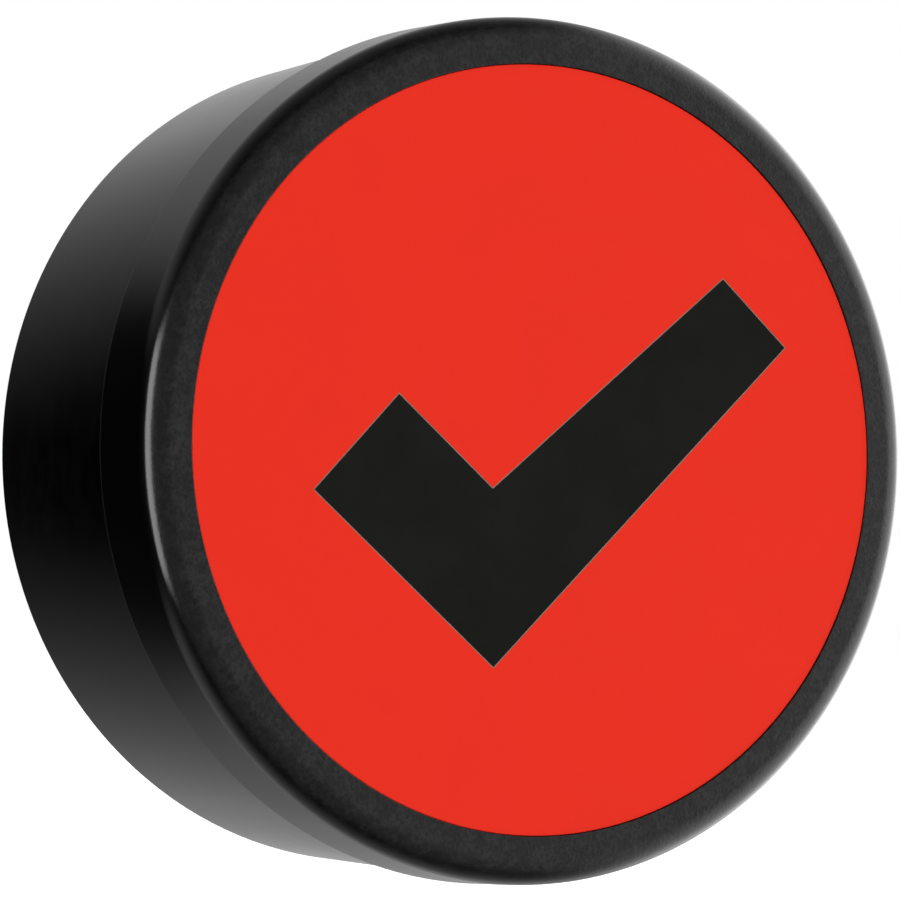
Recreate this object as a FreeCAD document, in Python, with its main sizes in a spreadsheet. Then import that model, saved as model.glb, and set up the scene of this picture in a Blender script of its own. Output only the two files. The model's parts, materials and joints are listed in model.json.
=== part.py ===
"""Flush round push button with a tick, for a wall or panel: a parametric document in millimetres.

Each piece is drawn with its axis along Z, its rear face low and its front high, and then turned so
that the rear plane is Y = 0, the front faces -Y and up is +Z. The origin is the rear plane's centre.
"""

import FreeCAD, Part
import os
import re

import Sketcher
from FreeCAD import Placement, Rotation, Vector

# Driving dimensions. A "level" is a height above the rear plane, a "pitch" is a radius that holes or
# posts lie on, and an "angle" is the direction of the first of them, in degrees.
SIZES = {
    # The outside, and the ring that frames the cap
    "overall_depth": 26.0,
    "ring_radius": 30.0,
    "ring_front_radius": 29.73,
    "ring_height": 7.0,
    "ring_rounding": 1.9,
    "ring_joint_rounding": 0.15,
    "ring_bore_chamfer": 0.08,
    "collar_radius": 28.0,
    "collar_bore": 25.2,
    "shell_front_radius": 29.55,
    "shell_rear_radius": 29.3,
    "shell_rounding": 0.35,
    "shell_joint_rounding": 0.2,
    "shell_bore": 28.1,
    "ledge_bore": 26.2,
    "ledge_height": 2.0,
    # The cap and its tick
    "cap_radius": 26.3,
    "cap_gap": 0.1,
    "cap_sink": 0.1,
    "cap_thickness": 1.8,
    "cap_wall": 2.0,
    "cap_rounding": 0.1,
    "skirt_depth": 4.9,
    "tick_depth": 1.0,
    "tick_inner_corner_across": -3.97,
    "tick_inner_corner_up": -2.61,
    "tick_outer_corner_across": -4.16,
    "tick_outer_corner_up": -14.89,
    "tick_short_angle": 42.3,
    "tick_short_inner": 9.54,
    "tick_short_outer": 18.14,
    "tick_long_inner_angle": 38.1,
    "tick_long_inner": 23.64,
    "tick_long_outer_angle": 42.7,
    "tick_long_outer": 32.48,
    # The carrier under the cap, its posts, bushes and springs
    "press_travel": 1.2,
    "travel_room": 0.4,
    "carrier_thickness": 1.8,
    "carrier_radius": 24.05,
    "snap_level": 23.0,
    "snap_height": 0.4,
    "snap_clearance": 0.15,
    "stem_radius": 2.6,
    "rib_width": 1.6,
    "rib_depth": 1.0,
    "rib_reach": 22.0,
    "post_pitch": 19.5,
    "post_angle": 30.0,
    "post_radius": 2.0,
    "post_end_level": 11.5,
    "post_screw_radius": 0.8,
    "post_screw_length": 4.5,
    "post_screw_head_radius": 1.6,
    "washer_radius": 3.4,
    "washer_thickness": 0.5,
    "bush_running_gap": 0.05,
    "bush_radius": 2.8,
    "bush_flange_radius": 3.6,
    "bush_flange_thickness": 0.8,
    "bush_stand_off": 0.8,
    "spring_radius": 3.4,
    "spring_wire_radius": 0.25,
    "spring_coils": 5.5,
    "spring_end_gap": 0.05,
    # Seals
    "wiper_level": 22.2,
    "wiper_height": 1.4,
    "wiper_groove_depth": 1.0,
    "wiper_gap": 0.08,
    "seal_groove_width": 1.0,
    "seal_groove_depth": 0.8,
    "seal_section_radius": 0.42,
    "bezel_seal_level": 16.3,
    "cover_seal_level": 2.0,
    "door_seal_pitch": 17.2,
    # The deck and its screws
    "deck_level": 13.0,
    "deck_thickness": 2.0,
    "deck_radius": 27.9,
    "deck_window": 7.6,
    "deck_screw_pitch": 24.0,
    "deck_screw_radius": 1.0,
    "deck_screw_head_radius": 1.9,
    "boss_radius": 2.5,
    "screw_slack": 0.1,
    "screw_end_room": 0.4,
    "screw_head_height": 1.2,
    "recess_length": 1.9,
    "recess_width": 0.5,
    "recess_depth": 0.7,
    # The circuit board and what is on it
    "board_level": 9.0,
    "board_thickness": 1.6,
    "board_radius": 20.0,
    "board_bite_radius": 4.4,
    "board_screw_pitch": 16.5,
    "board_screw_angle": 90.0,
    "board_screw_radius": 0.8,
    "board_screw_head_radius": 1.7,
    "standoff_radius": 2.2,
    "switch_side": 10.0,
    "switch_height": 4.0,
    "switch_corner": 0.8,
    "switch_bore_radius": 2.25,
    "switch_bore_depth": 3.4,
    "plunger_radius": 2.15,
    "plunger_rest_height": 1.8,
    "plunger_rounding": 0.5,
    "stem_gap": 0.1,
    # The battery and its contacts
    "cell_level": 3.2,
    "cell_radius": 12.25,
    "cell_can_height": 4.3,
    "cell_height": 5.0,
    "cell_pole_radius": 10.6,
    "holder_level": 4.0,
    "holder_bore": 12.5,
    "holder_radius": 13.8,
    "clip_width": 5.0,
    "clip_thickness": 0.3,
    "clip_gap": 0.05,
    "clip_foot": 3.0,
    "leaf_width": 5.0,
    "leaf_thickness": 0.2,
    "leaf_reach": 6.0,
    "leaf_spring_gap": 0.05,
    # The base cover, the wall inserts and the battery door
    "cover_radius": 27.9,
    "cover_thickness": 3.0,
    "base_screw_pitch": 24.6,
    "base_screw_angle": 90.0,
    "base_screw_radius": 1.25,
    "base_screw_head_radius": 2.35,
    "base_screw_head_sink": 0.3,
    "shell_boss_radius": 3.8,
    "insert_pitch": 22.5,
    "insert_radius": 2.1,
    "insert_thread_radius": 1.25,
    "insert_length": 4.0,
    "insert_waist": 0.35,
    "insert_boss_radius": 3.4,
    "insert_boss_height": 2.0,
    "insert_hole_depth": 4.4,
    "door_radius": 18.0,
    "door_gap": 0.2,
    "door_sink": 0.15,
    "door_head_level": 1.2,
    "door_head_gap": 0.1,
    "door_hub_radius": 14.4,
    "door_hub_level": 3.1,
    "bayonet_flange": 1.0,
    "bayonet_bore": 16.4,
    "lug_reach": 16.1,
    "lug_half_width": 2.0,
    "notch_half_width": 2.4,
    "notch_reach": 16.3,
    "door_turn": 40.0,
    "coin_slot_length": 16.0,
    "coin_slot_width": 1.8,
    "coin_slot_depth": 1.2,
    "door_rounding": 0.3,
    "mark_radius": 0.6,
    "mark_depth": 0.3,
    "door_mark_pitch": 15.6,
    "cover_mark_pitch": 20.4,
}

# Sizes worked out from the driving ones
CAP_FACE = "(overall_depth - cap_sink)"
CAP_UNDER = "(overall_depth - cap_sink - cap_thickness)"
CARRIER_REAR = "(overall_depth - cap_sink - cap_thickness - carrier_thickness)"
RING_REAR = "(overall_depth - ring_height)"
RING_BORE = "(cap_radius + cap_gap)"
SKIRT_BORE = "(cap_radius - cap_wall)"
SKIRT_END = "(overall_depth - cap_sink - skirt_depth)"
DECK_FRONT = "(deck_level + deck_thickness)"
BOARD_FRONT = "(board_level + board_thickness)"
SWITCH_TOP = "(board_level + board_thickness + switch_height)"
PLUNGER_TOP = "(board_level + board_thickness + switch_height + plunger_rest_height)"
PLUNGER_FOOT = f"({SWITCH_TOP} - switch_bore_depth + press_travel + travel_room / 2)"
COLLAR_STEP = f"({SKIRT_END} - press_travel - travel_room)"
BOSS_HOLE_END = f"({COLLAR_STEP} - screw_end_room)"
NOTCH_ANGLE = "(0 - door_turn)"

TO_WORLD = Rotation(Vector(1, 0, 0), 90)
PARTS_FOLDER = "parts"

doc = FreeCAD.newDocument("FlushPushButton")
sheet = doc.addObject("Spreadsheet::Sheet", "Dims")
for row, (alias, size) in enumerate(SIZES.items(), start=1):
    sheet.set(f"A{row}", alias.replace("_", " "))
    sheet.set(f"B{row}", str(size))
    sheet.setAlias(f"B{row}", alias)
doc.recompute()

pieces = []


# ---------------------------------------------------------------- drawing tools


def bind(text):
    """The expression with each dimension's name pointing at its cell."""
    return re.sub(r"[a-z]\w*", lambda name: ("Dims." if name.group() in SIZES else "") + name.group(),
                  str(text))


def value(text):
    """What an expression comes to now."""
    return float(sheet.evalExpression(bind(text)))


def at(pitch, angle):
    """The place on a pitch circle, as a pair of expressions."""
    return f"{pitch} * cos({angle})", f"{pitch} * sin({angle})"


def new_body(label, turn=0):
    """An empty body, turned about its own axis and then into the button's frame."""
    body = doc.addObject("PartDesign::Body", label)
    body.Label = label
    body.Placement = Placement(Vector(), TO_WORLD)
    if turn:
        body.Placement = Placement(Vector(), TO_WORLD * Rotation(Vector(0, 0, 1), value(turn)))
    pieces.append(body)
    return body


def origin_item(body, role):
    return next(item for item in body.Origin.OriginFeatures if item.Role == role)


def new_sketch(body, name, role, level=0):
    """A sketch on one of the body's own planes, raised along its normal to a level."""
    sketch = body.newObject("Sketcher::SketchObject", name)
    sketch.AttachmentSupport = (origin_item(body, role), [""])
    sketch.MapMode = "FlatFace"
    if level != 0:
        sketch.setExpression("AttachmentOffset.Base.z", bind(level))
    return sketch


def tie(sketch, element, point, place):
    """Fix a sketch point at a place given as two expressions."""
    for kind, axis, text in (("DistanceX", -2, place[0]), ("DistanceY", -1, place[1])):
        if text == 0:
            sketch.addConstraint(Sketcher.Constraint("PointOnObject", element, point, axis))
        else:
            index = sketch.addConstraint(
                Sketcher.Constraint(kind, -1, 1, element, point, value(text)))
            sketch.setExpression(f"Constraints[{index}]", bind(text))


def draw_outline(sketch, places):
    """A closed outline of straight lines through places given as expressions."""
    corners = [Vector(value(across), value(up), 0) for across, up in places]
    first = sketch.GeometryCount
    count = len(corners)
    sketch.addGeometry([Part.LineSegment(corners[n], corners[(n + 1) % count]) for n in range(count)])
    for n in range(count):
        following = first + (n + 1) % count
        sketch.addConstraint(Sketcher.Constraint("Coincident", first + n, 2, following, 1))
    for n, place in enumerate(places):
        tie(sketch, first + n, 1, place)


def draw_circle(sketch, place, radius):
    centre = Vector(value(place[0]), value(place[1]), 0)
    element = sketch.addGeometry(Part.Circle(centre, Vector(0, 0, 1), value(radius)))
    index = sketch.addConstraint(Sketcher.Constraint("Radius", element, value(radius)))
    sketch.setExpression(f"Constraints[{index}]", bind(radius))
    tie(sketch, element, 3, place)


def draw_axis(sketch, across):
    """A construction line parallel to the button's axis, for pieces that turn about a pitch point."""
    low, high = Vector(value(across), 0, 0), Vector(value(across), value("overall_depth"), 0)
    element = sketch.addGeometry(Part.LineSegment(low, high), True)
    sketch.addConstraint(Sketcher.Constraint("Vertical", element))
    tie(sketch, element, 1, (across, 0))
    index = sketch.addConstraint(
        Sketcher.Constraint("DistanceY", element, 1, element, 2, value("overall_depth")))
    sketch.setExpression(f"Constraints[{index}]", bind("overall_depth"))


def body_volume(body):
    doc.recompute()
    return body.Shape.Volume if body.Tip else 0.0


def turned(body, name, places, centre=0, cut=False):
    """Turn an outline of (radius, level) places about the body's axis or about a pitch point's."""
    before = body_volume(body)
    sketch = new_sketch(body, name + "_outline", "XZ_Plane")
    if centre == 0:
        draw_outline(sketch, places)
    else:
        draw_axis(sketch, centre)
        draw_outline(sketch, [(f"{centre} + {radius}", level) for radius, level in places])
    feature = body.newObject("PartDesign::Groove" if cut else "PartDesign::Revolution", name)
    feature.Profile = sketch
    feature.ReferenceAxis = (sketch, ["V_Axis" if centre == 0 else "Axis0"])
    feature.Angle = 360
    return checked(body, feature, before, cut)


def raised(body, name, level, height, draw):
    """Pad what draw() puts in a sketch at a level, towards the front."""
    before = body_volume(body)
    sketch = new_sketch(body, name + "_outline", "XY_Plane", level)
    draw(sketch)
    feature = body.newObject("PartDesign::Pad", name)
    feature.Profile = sketch
    feature.setExpression("Length", bind(height))
    return checked(body, feature, before, cut=False)


def sunk(body, name, level, depth, draw, forwards=False):
    """Pocket what draw() puts in a sketch at a level, towards the rear or forwards."""
    before = body_volume(body)
    sketch = new_sketch(body, name + "_outline", "XY_Plane", level)
    draw(sketch)
    feature = body.newObject("PartDesign::Pocket", name)
    feature.Profile = sketch
    feature.setExpression("Length", bind(depth))
    feature.Reversed = forwards
    return checked(body, feature, before, cut=True)


def checked(body, feature, before, cut):
    """Stop if a new feature left the solid as it was, or moved its volume the wrong way."""
    after = body_volume(body)
    if (after >= before) if cut else (after <= before):
        raise RuntimeError(f"{body.Label}: {feature.Name} changed {before:.2f} to {after:.2f} mm3")
    return feature


def around(body, feature, count=3):
    """Repeat a feature round the body's axis."""
    pattern = body.newObject("PartDesign::PolarPattern", feature.Name + "_pattern")
    pattern.Originals = [feature]
    pattern.Axis = (origin_item(body, "Z_Axis"), [""])
    pattern.Angle = 360
    pattern.Occurrences = count
    body.Tip = pattern
    cut = feature.TypeId in ("PartDesign::Pocket", "PartDesign::Groove")
    return checked(body, pattern, feature.Shape.Volume, cut)


def ring_edges(shape, radius, level):
    """The names of the full circles of a radius that lie at a level about the body's axis."""
    names = []
    for number, edge in enumerate(shape.Edges, start=1):
        curve = edge.Curve
        if isinstance(curve, Part.Circle) and abs(curve.Radius - value(radius)) < 1e-4:
            if abs(curve.Center.z - value(level)) < 1e-4:
                names.append(f"Edge{number}")
    return names


def dressed(body, kind, name, edges, size):
    """Round ("Fillet") or bevel ("Chamfer") some edges of the body as it stands."""
    base = body.Tip
    feature = body.newObject("PartDesign::" + kind, name)
    feature.Base = (base, edges)
    feature.setExpression("Radius" if kind == "Fillet" else "Size", bind(size))
    doc.recompute()
    return feature


def rounded(body, name, radius, level, size, kind="Fillet"):
    """Round or bevel a ring edge."""
    doc.recompute()
    return dressed(body, kind, name, ring_edges(body.Tip.Shape, radius, level), size)


def circle_drawing(place, radius):
    return lambda sketch: draw_circle(sketch, place, radius)


def rectangle_drawing(left, right, bottom, top):
    return lambda sketch: draw_outline(
        sketch, [(left, bottom), (right, bottom), (right, top), (left, top)])


def seal_ring(label, pitch, level):
    """An O-ring, as a torus about the button's axis."""
    ring = doc.addObject("Part::Torus", label)
    ring.Label = label
    ring.setExpression("Radius1", bind(pitch))
    ring.setExpression("Radius2", bind("seal_section_radius"))
    ring.Placement = Placement(TO_WORLD.multVec(Vector(0, 0, value(level))), TO_WORLD)
    pieces.append(ring)


def headed_screws(label, pitch, turn, head_level, shank, length, head):
    """Three pan-head screws with cross recesses, heads to the rear, shanks to the front."""
    body = new_body(label, turn)
    head_rear = f"({head_level} - screw_head_height)"
    screw = turned(body, label + "_blank", [
        (0, head_rear), (f"{head} * 0.75", head_rear), (head, f"{head_level} - 0.6 * screw_head_height"),
        (head, head_level), (shank, head_level), (shank, f"{head_level} + {length}"),
        (0, f"{head_level} + {length}")], centre=pitch)
    around(body, screw)
    cross_recess(body, label, pitch, head_rear)


def cross_recess(body, label, pitch, level):
    """A cross recess in each of three screw heads, cut forwards from the head's rear face."""
    half_long, half_wide = "recess_length / 2", "recess_width / 2"
    for name, along, across in (("radial", half_long, half_wide), ("crosswise", half_wide, half_long)):
        slot = sunk(body, f"{label}_{name}", level, "recess_depth", rectangle_drawing(
            f"{pitch} - {along}", f"{pitch} + {along}", f"0 - {across}", across), forwards=True)
        around(body, slot)


def chip(label, places, size, level=BOARD_FRONT, bevel=0.15):
    """Block-shaped components on the board's front: centres, one size (x, y, height)."""
    body = new_body(label)
    wide, tall, high = size
    for number, (across, up) in enumerate(places, start=1):
        raised(body, f"{label}_{number}", level, high, rectangle_drawing(
            across - wide / 2, across + wide / 2, up - tall / 2, up + tall / 2))
    top = value(level) + high
    edges = [f"Edge{number}" for number, edge in enumerate(body.Tip.Shape.Edges, start=1)
             if all(abs(vertex.Z - top) < 1e-6 for vertex in edge.Vertexes)]
    dressed(body, "Chamfer", label + "_bevel", edges, bevel)
    return body


def tick_outline():
    """The tick's six corners: two arms that meet at an inner and an outer corner."""
    inner = ("tick_inner_corner_across", "tick_inner_corner_up")
    outer = ("tick_outer_corner_across", "tick_outer_corner_up")

    def along(corner, length, angle, sign):
        return (f"{corner[0]} {sign} {length} * cos({angle})", f"{corner[1]} + {length} * sin({angle})")

    return [
        outer,
        along(outer, "tick_long_outer", "tick_long_outer_angle", "+"),
        along(inner, "tick_long_inner", "tick_long_inner_angle", "+"),
        inner,
        along(inner, "tick_short_inner", "tick_short_angle", "-"),
        along(outer, "tick_short_outer", "tick_short_angle", "-"),
    ]


# ---------------------------------------------------------------- front: bezel, cap and seals


def make_bezel_ring():
    """The front ring with its collar, which reaches into the shell and clamps the deck."""
    body = new_body("bezel_ring")
    turned(body, "bezel_blank", [
        (RING_BORE, "overall_depth"), ("ring_front_radius", "overall_depth"),
        ("ring_radius", RING_REAR), ("collar_radius", RING_REAR),
        ("collar_radius", DECK_FRONT), ("collar_bore", DECK_FRONT),
        ("collar_bore", COLLAR_STEP), (RING_BORE, COLLAR_STEP)])
    bosses = (("base_boss", "base_screw_pitch", "base_screw_angle", "base_screw_radius"),
              ("deck_boss", "deck_screw_pitch", 0, "deck_screw_radius"))
    for name, pitch, angle, _ in bosses:
        around(body, raised(body, name, DECK_FRONT, f"{COLLAR_STEP} - {DECK_FRONT}",
                            circle_drawing(at(pitch, angle), "boss_radius")))
    for name, pitch, angle, radius in bosses:
        around(body, sunk(body, name + "_hole", DECK_FRONT, f"{BOSS_HOLE_END} - {DECK_FRONT}",
                          circle_drawing(at(pitch, angle), radius), forwards=True))
    turned(body, "wiper_groove", [
        ("cap_radius", "wiper_level"), (f"{RING_BORE} + wiper_groove_depth", "wiper_level"),
        (f"{RING_BORE} + wiper_groove_depth", "wiper_level + wiper_height"),
        ("cap_radius", "wiper_level + wiper_height")], cut=True)
    seal_groove(body, "bezel_seal_groove", "collar_radius", "bezel_seal_level")
    rounded(body, "front_rounding", "ring_front_radius", "overall_depth", "ring_rounding")
    rounded(body, "joint_edge", "ring_radius", RING_REAR, "ring_joint_rounding")
    rounded(body, "bore_chamfer", RING_BORE, "overall_depth", "ring_bore_chamfer", "Chamfer")


def seal_groove(body, name, rim, level):
    """A groove round a rim for an O-ring, centred on a level."""
    low, high = f"{level} - seal_groove_width / 2", f"{level} + seal_groove_width / 2"
    floor, outside = f"{rim} - seal_groove_depth", f"{rim} + seal_groove_depth"
    turned(body, name, [(floor, low), (outside, low), (outside, high), (floor, high)], cut=True)


def make_button_cap():
    """The disc that is pressed, with a skirt, a snap groove inside it and a pocket for the tick."""
    body = new_body("button_cap")
    turned(body, "cap_blank", [
        (0, CAP_UNDER), (0, CAP_FACE), ("cap_radius", CAP_FACE), ("cap_radius", SKIRT_END),
        (SKIRT_BORE, SKIRT_END), (SKIRT_BORE, "snap_level - snap_height"),
        (f"{SKIRT_BORE} + snap_height", "snap_level"), (SKIRT_BORE, "snap_level + snap_height"),
        (SKIRT_BORE, CAP_UNDER)])
    rounded(body, "face_rounding", "cap_radius", CAP_FACE, "cap_rounding")
    sunk(body, "tick_pocket", CAP_FACE, "tick_depth", lambda sketch: draw_outline(sketch, tick_outline()))


def make_tick_inlay():
    body = new_body("tick_inlay")
    raised(body, "tick", f"{CAP_FACE} - tick_depth", "tick_depth",
           lambda sketch: draw_outline(sketch, tick_outline()))


def make_cap_carrier():
    """The frame that is snapped into the cap: a disc with a stem, ribs and three guide posts."""
    body = new_body("cap_carrier")
    bead = f"{SKIRT_BORE} + snap_height - snap_clearance"
    turned(body, "carrier_blank", [
        (0, f"{PLUNGER_TOP} + stem_gap"), ("stem_radius", f"{PLUNGER_TOP} + stem_gap"),
        ("stem_radius", CARRIER_REAR), ("carrier_radius", CARRIER_REAR),
        ("carrier_radius", "snap_level - snap_height"), (bead, "snap_level"),
        ("carrier_radius", "snap_level + snap_height"), ("carrier_radius", CAP_UNDER),
        (0, CAP_UNDER)])
    around(body, raised(body, "rib", f"{CARRIER_REAR} - rib_depth", "rib_depth", rectangle_drawing(
        "0 - rib_width / 2", "rib_width / 2", "stem_radius / 2", "rib_reach")))
    post_length = f"{CARRIER_REAR} - post_end_level"
    post = at("post_pitch", "post_angle")
    around(body, raised(body, "post", "post_end_level", post_length,
                        circle_drawing(post, "post_radius")))
    around(body, sunk(body, "post_hole", "post_end_level", "post_screw_length + screw_end_room",
                      circle_drawing(post, "post_screw_radius"), forwards=True))


def make_post_fittings():
    """What is on the posts: bushes in the deck, springs, and the washers and screws that stop them."""
    bush_low, bush_high = "post_end_level + bush_stand_off / 8", f"{DECK_FRONT} + bush_stand_off"
    flange_low = "deck_level - bush_flange_thickness"
    bore = "post_radius + bush_running_gap"
    bushes = new_body("guide_bushes", "post_angle")
    around(bushes, turned(bushes, "bush", [
        (bore, bush_low), ("bush_radius", bush_low), ("bush_radius", flange_low),
        ("bush_flange_radius", flange_low), ("bush_flange_radius", "deck_level"),
        ("bush_radius", "deck_level"), ("bush_radius", bush_high), (bore, bush_high)],
        centre="post_pitch"))

    washers = new_body("post_washers", "post_angle")
    washer_low = "post_end_level - washer_thickness"
    around(washers, turned(washers, "washer", [
        ("post_screw_radius + screw_slack", washer_low), ("washer_radius", washer_low),
        ("washer_radius", "post_end_level"), ("post_screw_radius + screw_slack", "post_end_level")],
        centre="post_pitch"))

    headed_screws("post_screws", "post_pitch", "post_angle", f"({washer_low})", "post_screw_radius",
                  "(post_screw_length + washer_thickness)", "post_screw_head_radius")


def make_return_springs():
    """Three coil springs between the deck and the carrier, at rest."""
    body = new_body("return_springs", "post_angle")
    sketch = new_sketch(body, "wire_section", "XZ_Plane")
    draw_axis(sketch, "post_pitch")
    first_coil = f"{DECK_FRONT} + spring_end_gap + spring_wire_radius"
    last_coil = f"{CARRIER_REAR} - spring_end_gap - spring_wire_radius"
    draw_circle(sketch, ("post_pitch + spring_radius", first_coil), "spring_wire_radius")
    doc.recompute()
    coil = body.newObject("PartDesign::AdditiveHelix", "coil")
    coil.Profile = sketch
    coil.ReferenceAxis = (sketch, ["Axis0"])
    coil.Mode = "pitch-height-angle"
    coil.setExpression("Height", bind(f"{last_coil} - ({first_coil})"))
    coil.setExpression("Pitch", bind(f"({last_coil} - ({first_coil})) / spring_coils"))
    doc.recompute()
    around(body, coil)


def make_wiper_seal():
    """A lipped ring in the bezel's bore, just clear of the cap's skirt."""
    body = new_body("wiper_seal")
    lip, back = "cap_radius + wiper_gap", f"{RING_BORE} + wiper_groove_depth - wiper_gap"
    turned(body, "wiper", [
        (back, "wiper_level + 0.06 * wiper_height"), (lip, "wiper_level + 0.35 * wiper_height"),
        (lip, "wiper_level + 0.65 * wiper_height"), (back, "wiper_level + 0.94 * wiper_height")])


def make_seal_rings():
    rim_offset = "- seal_groove_depth + seal_section_radius"
    seal_ring("bezel_o_ring", f"collar_radius {rim_offset}", "bezel_seal_level")
    seal_ring("base_o_ring", f"cover_radius {rim_offset}", "cover_seal_level")
    seal_ring("battery_door_o_ring", "door_seal_pitch", "door_head_level + seal_section_radius")


# ---------------------------------------------------------------- middle: shell, deck and screws


def make_body_shell():
    """The side wall, with a ledge for the deck and three bosses for the long screws."""
    body = new_body("body_shell", "base_screw_angle")
    turned(body, "shell_blank", [
        ("shell_bore", 0), ("shell_rear_radius", 0), ("shell_front_radius", RING_REAR),
        ("shell_bore", RING_REAR), ("shell_bore", "deck_level"), ("ledge_bore", "deck_level"),
        ("ledge_bore", "deck_level - ledge_height"),
        ("shell_bore", "deck_level - 2 * ledge_height")])
    place = ("base_screw_pitch", 0)
    around(body, raised(body, "boss", "cover_thickness", "deck_level - cover_thickness",
                        circle_drawing(place, "shell_boss_radius")))
    around(body, sunk(body, "boss_hole", "deck_level", "deck_level - cover_thickness",
                      circle_drawing(place, "base_screw_radius + screw_slack")))
    rounded(body, "rear_rounding", "shell_rear_radius", 0, "shell_rounding")
    rounded(body, "joint_rounding", "shell_front_radius", RING_REAR, "shell_joint_rounding")


def make_deck_plate():
    """The fixed plate: bushes and springs in front, the board on standoffs behind."""
    body = new_body("deck_plate")
    turned(body, "deck_blank", [
        ("deck_window", "deck_level"), ("deck_radius", "deck_level"), ("deck_radius", DECK_FRONT),
        ("deck_window", DECK_FRONT)])
    standoff = at("board_screw_pitch", "board_screw_angle")
    around(body, raised(body, "standoff", BOARD_FRONT, f"deck_level - {BOARD_FRONT}",
                        circle_drawing(standoff, "standoff_radius")))
    around(body, sunk(body, "standoff_hole", BOARD_FRONT, f"{DECK_FRONT} - screw_end_room - {BOARD_FRONT}",
                      circle_drawing(standoff, "board_screw_radius"), forwards=True))
    holes = (("bush_hole", "post_pitch", "post_angle", "bush_radius"),
             ("deck_screw_hole", "deck_screw_pitch", 0, "deck_screw_radius + screw_slack"),
             ("base_screw_hole", "base_screw_pitch", "base_screw_angle",
              "base_screw_radius + screw_slack"))
    for name, pitch, angle, radius in holes:
        around(body, sunk(body, name, DECK_FRONT, "deck_thickness",
                          circle_drawing(at(pitch, angle), radius)))


def make_deck_screws():
    headed_screws("deck_screws", "deck_screw_pitch", 0, "deck_level", "deck_screw_radius",
                  f"({BOSS_HOLE_END} - deck_level - screw_end_room)", "deck_screw_head_radius")


def make_base_screws():
    """Three long countersunk screws from the base cover to the bezel."""
    body = new_body("base_screws", "base_screw_angle")
    neck = "base_screw_head_sink + base_screw_head_radius - base_screw_radius"
    end = f"{BOSS_HOLE_END} - screw_end_room"
    around(body, turned(body, "long_screw", [
        (0, "base_screw_head_sink"), ("base_screw_head_radius", "base_screw_head_sink"),
        ("base_screw_radius", neck), ("base_screw_radius", end), (0, end)],
        centre="base_screw_pitch"))
    cross_recess(body, "base_screws", "base_screw_pitch", "base_screw_head_sink")


# ---------------------------------------------------------------- electronics


def make_circuit_board():
    """A round board with a bite for each post and a hole for each screw."""
    body = new_body("circuit_board")
    raised(body, "board_blank", "board_level", "board_thickness", circle_drawing((0, 0), "board_radius"))
    around(body, sunk(body, "post_bite", BOARD_FRONT, "board_thickness",
                      circle_drawing(at("post_pitch", "post_angle"), "board_bite_radius")))
    around(body, sunk(body, "board_hole", BOARD_FRONT, "board_thickness", circle_drawing(
        at("board_screw_pitch", "board_screw_angle"), "board_screw_radius + screw_slack")))
    headed_screws("board_screws", "board_screw_pitch", "board_screw_angle", "board_level",
                  "board_screw_radius", f"({DECK_FRONT} - 2 * screw_end_room - board_level)",
                  "board_screw_head_radius")


def make_switch():
    """A short-stroke key switch in the middle of the board, and its plunger."""
    body = new_body("switch_body")
    half = "switch_side / 2"
    raised(body, "case", BOARD_FRONT, "switch_height",
           rectangle_drawing(f"0 - {half}", half, f"0 - {half}", half))
    upright = [f"Edge{number}" for number, edge in enumerate(body.Tip.Shape.Edges, start=1)
               if abs(edge.tangentAt(edge.FirstParameter).z) > 0.99]
    dressed(body, "Fillet", "case_corners", upright, "switch_corner")
    sunk(body, "plunger_bore", SWITCH_TOP, "switch_bore_depth",
         circle_drawing((0, 0), "switch_bore_radius"))

    plunger = new_body("switch_plunger")
    turned(plunger, "plunger_blank", [
        (0, PLUNGER_FOOT), ("plunger_radius", PLUNGER_FOOT),
        ("plunger_radius", PLUNGER_TOP), (0, PLUNGER_TOP)])
    rounded(plunger, "plunger_edge", "plunger_radius", PLUNGER_TOP, "plunger_rounding")


def make_components():
    """The radio module, the controller and the small parts round them."""
    chip("controller_chip", [(-11.5, 0.0)], (5.0, 5.0, 0.9))
    chip("crystal", [(-11.5, 4.8)], (3.2, 1.5, 0.8), bevel=0.1)
    chip("chip_capacitors", [(-14.0, -4.4), (-11.4, -4.4), (-8.8, -4.4), (-7.0, 4.8)], (1.6, 0.8, 0.8),
         bevel=0.1)
    chip("antenna", [(8.6, 14.2)], (7.0, 2.0, 1.0))
    module = new_body("radio_module")
    centre_across, centre_up = 12.2, -1.0
    for name, level, high, half_wide, half_tall in (
            ("module_board", BOARD_FRONT, 0.8, 4.0, 5.0),
            ("shield_can", f"{BOARD_FRONT} + 0.8", 1.2, 3.6, 4.0)):
        raised(module, name, level, high, rectangle_drawing(
            centre_across - half_wide, centre_across + half_wide,
            centre_up - half_tall, centre_up + half_tall))


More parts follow.
